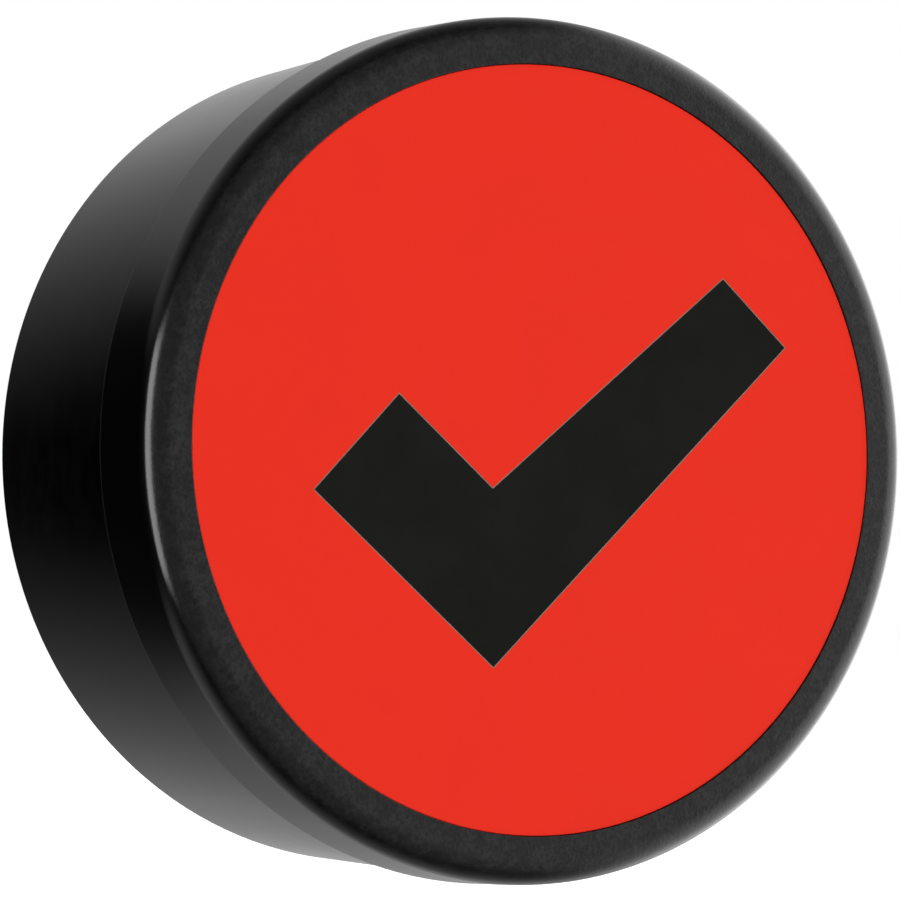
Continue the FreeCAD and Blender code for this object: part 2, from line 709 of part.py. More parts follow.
def make_battery():
    """The coin cell, its moulded holder and its two contacts."""
    holder = new_body("battery_holder")
    turned(holder, "holder_blank", [
        ("holder_bore", "holder_level"), ("holder_radius", "holder_level"),
        ("holder_radius", "board_level"), ("holder_bore", "board_level")])
    sunk(holder, "clip_window", "board_level", "board_level - holder_level", rectangle_drawing(
        "0 - holder_radius - clip_width", "0 - holder_bore / 2", "0 - 0.6 * clip_width",
        "0.6 * clip_width"))

    cell = new_body("battery_cell")
    can_top, pole_top = "cell_level + cell_can_height", "cell_level + cell_height"
    turned(cell, "cell_blank", [
        (0, "cell_level"), ("cell_radius", "cell_level"), ("cell_radius", can_top),
        ("cell_pole_radius + clip_thickness", can_top), ("cell_pole_radius", pole_top), (0, pole_top)])

    strip = "clip_thickness"
    inner = "(0 - cell_radius - clip_gap)"
    bent_strip("battery_clip_plus", "clip_width", [
        (inner, "holder_level"), (inner, "board_level"),
        (f"{inner} - clip_foot", "board_level"), (f"{inner} - clip_foot", f"board_level - {strip}"),
        (f"{inner} - {strip}", f"board_level - {strip}"), (f"{inner} - {strip}", "holder_level")])

    low = f"{pole_top} + leaf_spring_gap"
    bent_strip("battery_leaf_minus", "leaf_width", [
        ("0 - leaf_reach", "board_level"), ("0 - leaf_reach / 3", "board_level"),
        ("leaf_reach", f"{low} + leaf_thickness"), ("leaf_reach", low),
        ("0 - leaf_reach / 3", "board_level - leaf_thickness"),
        ("0 - leaf_reach", "board_level - leaf_thickness")])


def bent_strip(label, width, places):
    """A contact bent from strip: its side view, given the strip's width either side of the middle."""
    body = new_body(label)
    sketch = new_sketch(body, label + "_side", "XZ_Plane")
    draw_outline(sketch, places)
    pad = body.newObject("PartDesign::Pad", label + "_strip")
    pad.Profile = sketch
    pad.SideType = "Symmetric"
    pad.setExpression("Length", bind(width))


# ---------------------------------------------------------------- rear: cover, inserts and door


def make_base_cover():
    """The rear plate, with seats for the screws, the inserts and the bayonet door."""
    body = new_body("base_cover", "base_screw_angle")
    flange_top = "door_head_level + bayonet_flange"
    seat = "door_radius + door_gap"
    turned(body, "cover_blank", [
        (seat, 0), ("cover_radius", 0), ("cover_radius", "cover_thickness"),
        ("bayonet_bore", "cover_thickness"), ("bayonet_bore", flange_top),
        ("door_hub_radius + door_gap", flange_top), ("door_hub_radius + door_gap", "door_head_level"),
        (seat, "door_head_level")])
    insert_place = at("insert_pitch", "(0 - base_screw_angle)")
    around(body, raised(body, "insert_boss", "cover_thickness", "insert_boss_height",
                        circle_drawing(insert_place, "insert_boss_radius")), count=2)
    around(body, sunk(body, "insert_hole", 0, "insert_hole_depth",
                      circle_drawing(insert_place, "insert_radius"), forwards=True), count=2)
    head, hole = "base_screw_head_radius + screw_slack", "base_screw_radius + screw_slack"
    neck = "base_screw_head_sink + base_screw_head_radius - base_screw_radius"
    around(body, turned(body, "countersink", [
        (0, "0 - base_screw_head_sink"), (head, "0 - base_screw_head_sink"),
        (head, "base_screw_head_sink"), (hole, neck), (hole, "2 * cover_thickness"),
        (0, "2 * cover_thickness")], centre="base_screw_pitch", cut=True))
    notch_direction = f"({NOTCH_ANGLE} - base_screw_angle)"
    around(body, sunk(body, "bayonet_notch", "cover_thickness", f"cover_thickness - door_head_level",
                      lambda sketch: draw_outline(sketch, tangential_block(
                          notch_direction, "door_hub_radius", "notch_reach", "notch_half_width"))))
    groove_low = "door_head_level - door_head_gap"
    groove_high = "door_head_level + 2.05 * seal_section_radius"
    half_groove = "seal_groove_width / 2"
    turned(body, "door_seal_groove", [
        (f"door_seal_pitch - {half_groove}", groove_low), (f"door_seal_pitch + {half_groove}", groove_low),
        (f"door_seal_pitch + {half_groove}", groove_high),
        (f"door_seal_pitch - {half_groove}", groove_high)], cut=True)
    seal_groove(body, "cover_seal_groove", "cover_radius", "cover_seal_level")
    for name, angle in (("locked_mark", 0), ("open_mark", NOTCH_ANGLE)):
        sunk(body, name, 0, "mark_depth",
             circle_drawing(at("cover_mark_pitch", angle), "mark_radius"), forwards=True)


def tangential_block(angle, inner, outer, half_width):
    """The corners of a block that lies radially in a direction, from one radius to another."""
    def corner(radius, side):
        return (f"{radius} * cos({angle}) {'-' if side > 0 else '+'} {half_width} * sin({angle})",
                f"{radius} * sin({angle}) {'+' if side > 0 else '-'} {half_width} * cos({angle})")
    return [corner(inner, -1), corner(outer, -1), corner(outer, 1), corner(inner, 1)]


def make_thread_inserts():
    """Two brass inserts with a waist round the middle."""
    body = new_body("thread_inserts")
    waist = "insert_radius - insert_waist"
    around(body, turned(body, "insert", [
        ("insert_thread_radius", 0), ("insert_radius", 0), ("insert_radius", "0.4 * insert_length"),
        (waist, "0.45 * insert_length"), (waist, "0.55 * insert_length"),
        ("insert_radius", "0.6 * insert_length"), ("insert_radius", "insert_length"),
        ("insert_thread_radius", "insert_length")], centre="insert_pitch"), count=2)


def make_battery_door():
    """The bayonet door: a head in the cover's seat, a hub with three lugs, and a coin slot."""
    body = new_body("battery_door")
    head_top = "door_head_level - door_head_gap"
    turned(body, "door_blank", [
        (0, "door_sink"), ("door_radius", "door_sink"), ("door_radius", head_top),
        ("door_hub_radius", head_top), ("door_hub_radius", "door_hub_level"), (0, "door_hub_level")])
    rounded(body, "door_edge", "door_radius", "door_sink", "door_rounding")
    lug_low = "door_head_level + bayonet_flange + door_head_gap"
    around(body, raised(body, "lug", lug_low, f"door_hub_level - ({lug_low})", rectangle_drawing(
        "door_hub_radius / 2", "lug_reach", "0 - lug_half_width", "lug_half_width")))
    sunk(body, "coin_slot", "door_sink", "coin_slot_depth", rectangle_drawing(
        "0 - coin_slot_width / 2", "coin_slot_width / 2", "0 - coin_slot_length / 2",
        "coin_slot_length / 2"), forwards=True)
    sunk(body, "door_mark", "door_sink", "mark_depth",
         circle_drawing(at("door_mark_pitch", "base_screw_angle"), "mark_radius"), forwards=True)


# ---------------------------------------------------------------- the whole button


def make_all():
    make_bezel_ring()
    make_button_cap()
    make_tick_inlay()
    make_cap_carrier()
    make_post_fittings()
    make_return_springs()
    make_wiper_seal()
    make_seal_rings()
    make_body_shell()
    make_deck_plate()
    make_deck_screws()
    make_base_screws()
    make_circuit_board()
    make_switch()
    make_components()
    make_battery()
    make_base_cover()
    make_thread_inserts()
    make_battery_door()


def write_all():
    """Check every object and every piece's shape, then write one file for each piece."""
    doc.recompute()
    for item in doc.Objects:
        if "Invalid" in item.State or "Error" in item.State:
            raise RuntimeError(f"{item.Name} failed: {item.State}")
    for piece in pieces:
        shape = piece.Shape
        if shape.isNull() or not shape.isValid() or not shape.Solids:
            raise RuntimeError(f"{piece.Label} has no valid solid")
    os.makedirs(PARTS_FOLDER, exist_ok=True)
    for piece in pieces:
        piece.Shape.exportStep(os.path.join(PARTS_FOLDER, piece.Label + ".step"))
        print(f"{piece.Label}: {len(piece.Shape.Solids)} solid(s), {piece.Shape.Volume:.1f} mm3")


make_all()
write_all()
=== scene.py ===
import json
import math

import bmesh
import bpy
from mathutils import Matrix, Vector


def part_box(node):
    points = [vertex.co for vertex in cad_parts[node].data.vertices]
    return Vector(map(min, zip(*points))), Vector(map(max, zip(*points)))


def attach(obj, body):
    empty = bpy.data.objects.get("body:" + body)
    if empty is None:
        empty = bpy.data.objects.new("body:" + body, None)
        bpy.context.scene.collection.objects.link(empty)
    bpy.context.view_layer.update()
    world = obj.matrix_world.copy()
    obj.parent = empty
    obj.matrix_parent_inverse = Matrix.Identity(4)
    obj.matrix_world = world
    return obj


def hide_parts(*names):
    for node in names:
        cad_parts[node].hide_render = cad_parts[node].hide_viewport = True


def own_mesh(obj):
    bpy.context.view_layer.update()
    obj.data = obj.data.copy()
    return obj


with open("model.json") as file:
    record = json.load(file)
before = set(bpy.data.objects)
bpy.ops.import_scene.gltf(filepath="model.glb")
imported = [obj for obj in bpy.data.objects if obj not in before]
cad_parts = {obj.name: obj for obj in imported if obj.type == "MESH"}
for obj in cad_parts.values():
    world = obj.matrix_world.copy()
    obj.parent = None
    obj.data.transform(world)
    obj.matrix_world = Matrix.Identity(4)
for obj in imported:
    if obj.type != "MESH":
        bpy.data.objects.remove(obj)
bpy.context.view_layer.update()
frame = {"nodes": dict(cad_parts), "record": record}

# A flush round push button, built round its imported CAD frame. The rear plane is Y = 0, the cap faces
# -Y and +Z is up. Every length is in metres; MM turns millimetres into metres. A "level" is a height
# above the rear plane, so a point at a level has Y = -level.
MM = 0.001

# ---------------------------------------------------------------- sizes read from the frame
ring_low, ring_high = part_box("bezel_ring")
shell_low, shell_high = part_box("body_shell")
cap_low, cap_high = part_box("button_cap")
deck_low, deck_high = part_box("deck_plate")
spring_low, spring_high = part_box("return_springs")

RING_RADIUS = ring_high.x
RING_FRONT = -ring_low.y
RING_REAR = -shell_low.y
COLLAR_END = -ring_high.y
SHELL_RADIUS = shell_high.x
CAP_FACE = -cap_low.y
SKIRT_END = -cap_high.y
TICK_FLOOR = -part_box("tick_inlay")[1].y
LEDGE_LEVEL = -deck_high.y
SPRING_REAR = -spring_high.y
SPRING_FRONT = -spring_low.y

# ---------------------------------------------------------------- sizes of the detail
SEGMENTS = 240
ARC_STEPS = 14
SHARP_ANGLE = math.radians(32)

RING_FRONT_RADIUS = 29.73 * MM
RING_ROUNDING = 1.9 * MM
RING_REAR_ROUNDING = 0.14 * MM
RING_BORE = 26.4 * MM
RING_BORE_ROUNDING = 0.05 * MM
COLLAR_RADIUS = 28.0 * MM
COLLAR_BORE = 25.2 * MM
COLLAR_STEP = 19.4 * MM

SHELL_REAR_RADIUS = 29.3 * MM
SHELL_BORE = 28.1 * MM
SHELL_REAR_ROUNDING = 0.35 * MM
SHELL_JOINT_ROUNDING = 0.18 * MM
LEDGE_BORE = 26.2 * MM
LEDGE_HEIGHT = 2.0 * MM

CAP_RADIUS = 26.37 * MM
CAP_THICKNESS = 1.8 * MM
CAP_WALL = 2.0 * MM
CAP_ROUNDING = 0.05 * MM
SKIRT_ROUNDING = 0.1 * MM

POSTS = 3
POST_PITCH = 19.5 * MM
POST_ANGLE = math.radians(30)
SPRING_RADIUS = 3.4 * MM
SPRING_WIRE = 0.25 * MM
SPRING_COILS = 5.5
SPRING_STEPS_PER_COIL = 36
SPRING_WIRE_SIDES = 12
SPRING_SHARP_ANGLE = math.radians(60)

# The tick is two arms that meet at an inner and an outer corner. Its front edge has a fine bevel.
TICK_INNER = Vector((-3.97, -2.61)) * MM
TICK_OUTER = Vector((-4.16, -14.89)) * MM
TICK_SHORT_ANGLE = math.radians(180 - 42.3)
TICK_LONG_INNER_ANGLE = math.radians(38.1)
TICK_LONG_OUTER_ANGLE = math.radians(42.7)
TICK_SHORT_INNER = 9.54 * MM
TICK_SHORT_OUTER = 18.14 * MM
TICK_LONG_INNER = 23.64 * MM
TICK_LONG_OUTER = 32.48 * MM
TICK_BEVEL_WIDTH = 0.07 * MM
TICK_BEVEL_DEPTH = TICK_BEVEL_WIDTH / 4
TICK_SHARP_ANGLE = math.radians(5)

# ---------------------------------------------------------------- the ring's finish
# The front face has a grain of dark pits in patches. It fades out over the blend, behind the face.
RING_GRAIN = 0.3 * MM
RING_GRAIN_DEPTH = 0.022 * MM
RING_PATCH = 0.8 * MM
RING_CLOUD = 2.4 * MM
RING_FACE_BLEND = 0.7 * MM
RING_FACE_ROUGHNESS = 0.36
RING_FLANK_ROUGHNESS = 0.16
RING_FLANK_GRAIN = 0.15
RING_PIT = (0.001, 0.001, 0.0011)
RING_LAND = (0.0135, 0.0135, 0.0148)
RING_CLOUD_DARK = (0.004, 0.004, 0.0043)
RING_CLOUD_LIGHT = (0.009, 0.009, 0.0095)
RING_GRAIN_SPAN = (0.38, 0.56)
RING_PATCH_SPAN = (0.4, 0.6)
RING_PATCH_LOW = 0.3
RING_CLOUD_SPAN = (0.25, 0.6)
RING_PITTED_FROM = 0.25
RING_PITTED_TO = 0.85

# ---------------------------------------------------------------- what all plastics or metals share
PLASTIC_GLOSS_CHANGE = 0.03
METAL_PATCH = 1.5 * MM
METAL_PATCH_DARK = 0.88
METAL_PATCH_LIGHT = 1.06
METAL_GLOSS_LOSS = 0.08
METAL_GLOSS_GAIN = 0.06
METAL_STRETCH = (1, 12, 1)
METAL_SCRATCH_DEPTH = 0.003 * MM

# ---------------------------------------------------------------- the camera, light and surroundings
VIEW_YAW = math.radians(28.0)
VIEW_PITCH = math.radians(1.92)
VIEW_DISTANCE = 10 * RING_RADIUS
VIEW_LENS = 175.6
VIEW_SENSOR = 36.0
# How far the middle of the ring's face is from the camera's axis
FACE_OFFSET_RIGHT = 0.2145 * RING_RADIUS
FACE_OFFSET_UP = 0.0022 * RING_RADIUS

FLOOR_REACH = 4.0
FLOOR_DROP = 4 * RING_RADIUS

LAMP_PLACE = Vector((-0.39, -0.147, 0.0))
LAMP_AIM = Vector((0, -0.02, 0))
LAMP_WIDTH = 0.16
LAMP_HEIGHT = 0.34
LAMP_ENERGY = 0.95

# The tent's brightness by direction. Each ramp is where it starts, where it ends and what it comes
# to, over how far a direction of length 1 points one way. A fade is the part that is taken off.
TENT_WALL_RIGHTWARDS = (-0.36, 0.2, 0.54)
TENT_WALL_FADE_DOWN = (-0.1, 0.35, -0.17)
TENT_WALL_FADE_ENDS = (0.46, 0.66, -0.7)
TENT_ROOF_UP = (0.28, 0.5, 0.45)
TENT_ROOF_FADE_UP = (0.6, 0.9, -0.5)
TENT_GROUND_DOWN = (0.34, 0.6, 0.64)
TENT_GROUND_FADE_DOWN = (0.65, 0.95, -0.4)
TENT_BACKWARDS = (-0.35, 0.5, 1.0)
FRONT_GLOW_FORWARDS = (0.25, 0.8, 0.24)
SIDE_GLOW_RIGHTWARDS = (0.5, 0.85, 2.0)
SOFT_FILL_RIGHTWARDS = (-0.45, 0.1, 1.82)


# ---------------------------------------------------------------- mesh tools
def soften(corners):
    """A closed outline of (radius, level, rounding) corners, with an arc at each rounded corner."""
    outline = []
    for index, (radius, level, rounding) in enumerate(corners):
        here = Vector((radius, level))
        if not rounding:
            outline.append(here)
            continue
        to_last = (Vector(corners[index - 1][:2]) - here).normalized()
        to_next = (Vector(corners[(index + 1) % len(corners)][:2]) - here).normalized()
        half = to_last.angle(to_next) / 2
        centre = here + (to_last + to_next).normalized() * rounding / math.sin(half)
        start = here + to_last * rounding / math.tan(half) - centre
        end = here + to_next * rounding / math.tan(half) - centre
        for step in range(ARC_STEPS + 1):
            outline.append(centre + start.slerp(end, step / ARC_STEPS).normalized() * rounding)
    return outline


def new_piece(name, bm, sharp_angle=SHARP_ANGLE):
    """A mesh object from bmesh data, its normals outwards and smooth except at sharp edges."""
    bmesh.ops.recalc_face_normals(bm, faces=bm.faces)
    mesh = bpy.data.meshes.new(name)
    bm.to_mesh(mesh)
    bm.free()
    mesh.shade_smooth()
    mesh.set_sharp_from_angle(angle=sharp_angle)
    piece = bpy.data.objects.new(name, mesh)
    bpy.context.scene.collection.objects.link(piece)
    weighted = piece.modifiers.new("weighted_normals", "WEIGHTED_NORMAL")
    weighted.keep_sharp = True
    return piece


def circle_points(radius, count=SEGMENTS):
    """Points round a circle, anticlockwise from the right."""
    angles = [2 * math.pi * step / count for step in range(count)]
    return [(radius * math.cos(angle), radius * math.sin(angle)) for angle in angles]


def loop(bm, points, level):
    """A closed loop of vertices at a level, and its edges."""
    verts = [bm.verts.new((across, -level, up)) for across, up in points]
    edges = [bm.edges.new((verts[n], verts[(n + 1) % len(verts)])) for n in range(len(verts))]
    return verts, edges


def bridge(bm, first, second):
    """Quads between two loops with as many vertices."""
    for n in range(len(first)):
        after = (n + 1) % len(first)
        bm.faces.new((first[n], first[after], second[after], second[n]))


def lathe(bm, outline):
    """Turn a closed outline of (radius, level) points about the button's axis."""
    rings = []
    for across, up in circle_points(1.0):
        rings.append([bm.verts.new((radius * across, -level, radius * up))
                      for radius, level in outline])
    for ring, following in zip(rings, rings[1:] + rings[:1]):
        bridge(bm, ring, following)


def ray(start, length, angle):
    """The point at a length from the start, in the plane of the cap's face."""
    return start + Vector((math.cos(angle), math.sin(angle))) * length


def tick_corners():
    """The tick's outline, anticlockwise from its lowest corner."""
    return [
        TICK_OUTER,
        ray(TICK_OUTER, TICK_LONG_OUTER, TICK_LONG_OUTER_ANGLE),
        ray(TICK_INNER, TICK_LONG_INNER, TICK_LONG_INNER_ANGLE),
        TICK_INNER,
        ray(TICK_INNER, TICK_SHORT_INNER, TICK_SHORT_ANGLE),
        ray(TICK_OUTER, TICK_SHORT_OUTER, TICK_SHORT_ANGLE),
    ]


def inset(corners, distance):
    """The outline moved inwards by a distance; the corners run anticlockwise."""
    moved = []
    for index, here in enumerate(corners):
        before = (here - corners[index - 1]).normalized()
        after = (corners[(index + 1) % len(corners)] - here).normalized()
        normal_before = Vector((-before.y, before.x))
        normal_after = Vector((-after.y, after.x))
        mitre = (normal_before + normal_after).normalized()
        moved.append(here + mitre * distance / mitre.dot(normal_after))
    return moved


# ---------------------------------------------------------------- node tools
class Nodes:
    """A node tree, with short ways to add and link nodes."""

    # The colour sockets of a mix node, which share their names with its other sockets
    MIX_FIRST = 6
    MIX_SECOND = 7
    MIX_RESULT = 2

    def __init__(self, tree):
        self.tree = tree

    def add(self, kind, settings=None, **inputs):
        """A node with its settings, and inputs given as names with _ for each space."""
        node = self.tree.nodes.new(kind)
        for key, setting in (settings or {}).items():
            setattr(node, key, setting)
        for key, given in inputs.items():
            self.feed(node.inputs[key.replace("_", " ")], given)
        return node

    def feed(self, socket, given):
        """Link an output to a socket, or set the socket to a number, a vector or a colour."""
        if isinstance(given, bpy.types.NodeSocket):
            self.tree.links.new(given, socket)
        elif socket.type == "RGBA":
            socket.default_value = (*given, 1)
        else:
            socket.default_value = given

    def calculate(self, operation, *values):
        node = self.add("ShaderNodeMath", {"operation": operation})
        for socket, given in zip(node.inputs, values):
            self.feed(socket, given)
        return node.outputs["Value"]

    def times(self, first, second):
        return self.calculate("MULTIPLY", first, second)

    def plus(self, first, second):
        return self.calculate("ADD", first, second)

    def between(self, factor, low, high, span, curve="LINEAR"):
        """A value that goes from low to high as the factor crosses a span."""
        node = self.add("ShaderNodeMapRange", {"interpolation_type": curve}, Value=factor,
                        From_Min=span[0], From_Max=span[1], To_Min=low, To_Max=high)
        return node.outputs["Result"]

    def blend(self, factor, first, second):
        """A colour that goes from the first to the second as the factor goes from 0 to 1."""
        node = self.add("ShaderNodeMix", {"data_type": "RGBA"}, Factor=factor)
        self.feed(node.inputs[self.MIX_FIRST], first)
        self.feed(node.inputs[self.MIX_SECOND], second)
        return node.outputs[self.MIX_RESULT]


class Finish(Nodes):
    """A material's nodes."""

    # How far a noise's values reach, and the whole range of a factor
    NOISE_SPAN = (0.3, 0.7)
    WHOLE_SPAN = (0.0, 1.0)

    def __init__(self, name):
        self.material = bpy.data.materials.new(name)
        self.material.use_nodes = True
        super().__init__(self.material.node_tree)
        self.shader = self.tree.nodes["Principled BSDF"]
        self.place = self.add("ShaderNodeTexCoord").outputs["Object"]

    def noise(self, size, detail=3.0, roughness=0.55):
        """Noise whose blobs are about a size across."""
        return self.add("ShaderNodeTexNoise", Vector=self.place, Scale=1 / size, Detail=detail,
                        Roughness=roughness).outputs["Fac"]

    def bump(self, height, distance, strength=1.0):
        return self.add("ShaderNodeBump", Height=height, Distance=distance,
                        Strength=strength).outputs["Normal"]

    def set(self, **inputs):
        """Feed the shader's inputs, and give the material."""
        for key, given in inputs.items():
            self.feed(self.shader.inputs[key.replace("_", " ")], given)
        return self.material


# ---------------------------------------------------------------- materials
def scaled(colour, amount):
    return tuple(min(1.0, part * amount) for part in colour)


def plastic(name, colour, roughness, grain, depth, mottle=0.25, mottle_size=2.0 * MM, specular=0.5):
    """Moulded plastic: a spark-eroded grain, with slow changes in tone and gloss."""
    finish = Finish(name)
    fine = finish.noise(grain, detail=2.0)
    slow = finish.noise(mottle_size, detail=4.0, roughness=0.6)
    tone = finish.between(slow, 0.0, 1.0, finish.NOISE_SPAN)
    return finish.set(
        Base_Color=finish.blend(tone, scaled(colour, 1 - mottle), scaled(colour, 1 + mottle)),
        Roughness=finish.between(slow, roughness - PLASTIC_GLOSS_CHANGE,
                                 roughness + PLASTIC_GLOSS_CHANGE, finish.NOISE_SPAN),
        Normal=finish.bump(fine, depth),
        Specular_IOR_Level=specular,
        IOR=1.5)


def ring_plastic(name):
    """The ring: a coarse grain with dark pits on its front face, and a smoother flank."""
    finish = Finish(name)
    depth = finish.add("ShaderNodeSeparateXYZ", Vector=finish.place).outputs["Y"]
    face = finish.between(depth, 1.0, 0.0, (-RING_FRONT, -RING_FRONT + RING_FACE_BLEND))
    grain = finish.noise(RING_GRAIN, detail=3.0, roughness=0.7)
    cloud = finish.noise(RING_CLOUD, detail=3.0)
    patch = finish.noise(RING_PATCH, detail=2.0)
    land = finish.times(finish.between(grain, 0.0, 1.0, RING_GRAIN_SPAN),
                        finish.between(patch, RING_PATCH_LOW, 1.0, RING_PATCH_SPAN))
    pitted = finish.blend(land, RING_PIT, RING_LAND)
    clouded = finish.blend(finish.between(cloud, 0.0, 1.0, RING_CLOUD_SPAN), RING_CLOUD_DARK,
                           RING_CLOUD_LIGHT)
    pitting = finish.between(face, RING_PITTED_FROM, RING_PITTED_TO, finish.WHOLE_SPAN)
    graining = finish.between(face, RING_FLANK_GRAIN, 1.0, finish.WHOLE_SPAN)
    return finish.set(
        Base_Color=finish.blend(pitting, clouded, pitted),
        Roughness=finish.between(face, RING_FLANK_ROUGHNESS, RING_FACE_ROUGHNESS,
                                 finish.WHOLE_SPAN),
        Normal=finish.bump(grain, RING_GRAIN_DEPTH, graining))


def metal(name, colour, roughness, scratch=0.3 * MM):
    """Turned or rolled metal: fine scratches one way, and patches of tone."""
    finish = Finish(name)
    stretched = finish.add("ShaderNodeMapping", Vector=finish.place, Scale=METAL_STRETCH)
    scratches = finish.add("ShaderNodeTexNoise", Vector=stretched.outputs["Vector"],
                           Scale=1 / scratch, Detail=3.0).outputs["Fac"]
    slow = finish.noise(METAL_PATCH)
    return finish.set(
        Base_Color=finish.blend(slow, scaled(colour, METAL_PATCH_DARK),
                                scaled(colour, METAL_PATCH_LIGHT)),
        Roughness=finish.between(scratches, roughness - METAL_GLOSS_GAIN,
                                 roughness + METAL_GLOSS_LOSS, finish.NOISE_SPAN),
        Normal=finish.bump(scratches, METAL_SCRATCH_DEPTH),
        Metallic=1.0)


def painted_bevel_highlight():
    """Painted highlight: a pale colour on the tick's bevel that stands in for the light caught along
    its edge.
    """
    finish = Finish("painted_bevel_highlight")
    slow = finish.noise(1.2 * MM)
    return finish.set(Base_Color=finish.blend(slow, (0.17, 0.13, 0.095), (0.26, 0.2, 0.15)),
                      Roughness=0.5)


PLASTICS = {
    "shell_black": dict(colour=(0.0012, 0.0012, 0.00125), roughness=0.11, grain=0.22 * MM,
                        depth=0.0008 * MM, mottle=0.2),
    "cap_red": dict(colour=(0.745, 0.0165, 0.0025), roughness=0.5, grain=0.12 * MM,
                    depth=0.0015 * MM, mottle=0.012, mottle_size=6 * MM, specular=0.12),
    "tick_black": dict(colour=(0.0088, 0.0088, 0.0079), roughness=0.5, grain=0.12 * MM,
                       depth=0.0015 * MM, mottle=0.12, mottle_size=4 * MM, specular=0.05),
    "rear_black": dict(colour=(0.012, 0.012, 0.0125), roughness=0.42, grain=0.25 * MM,
                       depth=0.02 * MM),
    "door_black": dict(colour=(0.012, 0.012, 0.0125), roughness=0.36, grain=0.18 * MM,
                       depth=0.012 * MM),
    "nylon_black": dict(colour=(0.02, 0.02, 0.02), roughness=0.5, grain=0.2 * MM,
                        depth=0.01 * MM),
    "acetal_black": dict(colour=(0.015, 0.015, 0.016), roughness=0.35, grain=0.3 * MM,
                         depth=0.003 * MM),
    "acetal_natural": dict(colour=(0.8, 0.8, 0.76), roughness=0.35, grain=0.3 * MM,
                           depth=0.003 * MM, mottle=0.02),
    "rubber_black": dict(colour=(0.015, 0.015, 0.015), roughness=0.65, grain=0.15 * MM,
                         depth=0.008 * MM),
    "board_green": dict(colour=(0.02, 0.15, 0.055), roughness=0.3, grain=0.6 * MM,
                        depth=0.006 * MM, mottle=0.15),
    "chip_black": dict(colour=(0.02, 0.02, 0.022), roughness=0.5, grain=0.08 * MM,
                       depth=0.006 * MM),
    "ceramic_tan": dict(colour=(0.42, 0.3, 0.18), roughness=0.45, grain=0.1 * MM,
                        depth=0.003 * MM, mottle=0.1),
    "ceramic_white": dict(colour=(0.8, 0.79, 0.75), roughness=0.45, grain=0.1 * MM,
                          depth=0.003 * MM, mottle=0.03),
}

METALS = {
    "zinc_steel": dict(colour=(0.62, 0.63, 0.65), roughness=0.3),
    "black_steel": dict(colour=(0.045, 0.045, 0.048), roughness=0.35),
    "spring_steel": dict(colour=(0.55, 0.55, 0.57), roughness=0.22, scratch=0.1 * MM),
    "insert_brass": dict(colour=(0.62, 0.43, 0.16), roughness=0.3),
    "shield_tin": dict(colour=(0.7, 0.7, 0.69), roughness=0.35),
    "cell_steel": dict(colour=(0.68, 0.68, 0.68), roughness=0.25),
    "contact_nickel": dict(colour=(0.74, 0.72, 0.66), roughness=0.28),
}


def make_materials():
    """One material for each slot of the record."""
    made = {"ring_black": ring_plastic("ring_black")}
    for slot, look in PLASTICS.items():
        made[slot] = plastic(slot, **look)
    for slot, look in METALS.items():
        made[slot] = metal(slot, **look)
    return made


# ---------------------------------------------------------------- the finer pieces
def make_bezel_ring():
    """The ring round the cap, with the collar that reaches into the body shell."""
    bm = bmesh.new()
    lathe(bm, soften([
        (RING_BORE, RING_FRONT, RING_BORE_ROUNDING),
        (RING_FRONT_RADIUS, RING_FRONT, RING_ROUNDING),
        (RING_RADIUS, RING_REAR, RING_REAR_ROUNDING),
        (COLLAR_RADIUS, RING_REAR, 0),
        (COLLAR_RADIUS, COLLAR_END, 0),
        (COLLAR_BORE, COLLAR_END, 0),
        (COLLAR_BORE, COLLAR_STEP, 0),
        (RING_BORE, COLLAR_STEP, 0),
    ]))
    return new_piece("bezel", bm)


def make_body_shell():
    """The side wall, with the ledge inside it that the deck rests on."""
    bm = bmesh.new()
    lathe(bm, soften([
        (SHELL_BORE, 0.0, 0),
        (SHELL_REAR_RADIUS, 0.0, SHELL_REAR_ROUNDING),
        (SHELL_RADIUS, RING_REAR, SHELL_JOINT_ROUNDING),
        (SHELL_BORE, RING_REAR, 0),
        (SHELL_BORE, LEDGE_LEVEL, 0),
        (LEDGE_BORE, LEDGE_LEVEL, 0),
        (LEDGE_BORE, LEDGE_LEVEL - LEDGE_HEIGHT, 0),
        (SHELL_BORE, LEDGE_LEVEL - 2 * LEDGE_HEIGHT, 0),
    ]))
    return new_piece("shell", bm)


def make_button_cap():
    """The cap: a turned rim and skirt, a flat face round the tick's pocket, and the pocket."""
    bm = bmesh.new()
    outline = soften([
        (0.0, CAP_FACE, 0),
        (CAP_RADIUS, CAP_FACE, CAP_ROUNDING),
        (CAP_RADIUS, SKIRT_END, SKIRT_ROUNDING),
        (CAP_RADIUS - CAP_WALL, SKIRT_END, 0),
        (CAP_RADIUS - CAP_WALL, CAP_FACE - CAP_THICKNESS, 0),
    ])
    # The outline's first point is on the axis, inside the flat face, and has no loop
    loops = [loop(bm, circle_points(radius), level) for radius, level in outline[1:]]
    for (first, _), (second, _) in zip(loops, loops[1:]):
        bridge(bm, first, second)
    bm.faces.new(loops[-1][0])
    corners = tick_corners()
    pocket_verts, pocket_edges = loop(bm, corners, CAP_FACE)
    floor_verts, _ = loop(bm, corners, TICK_FLOOR)
    bridge(bm, pocket_verts, floor_verts)
    bm.faces.new(floor_verts)
    bmesh.ops.triangle_fill(bm, edges=loops[0][1] + pocket_edges, use_beauty=True)
    return new_piece("cap", bm)


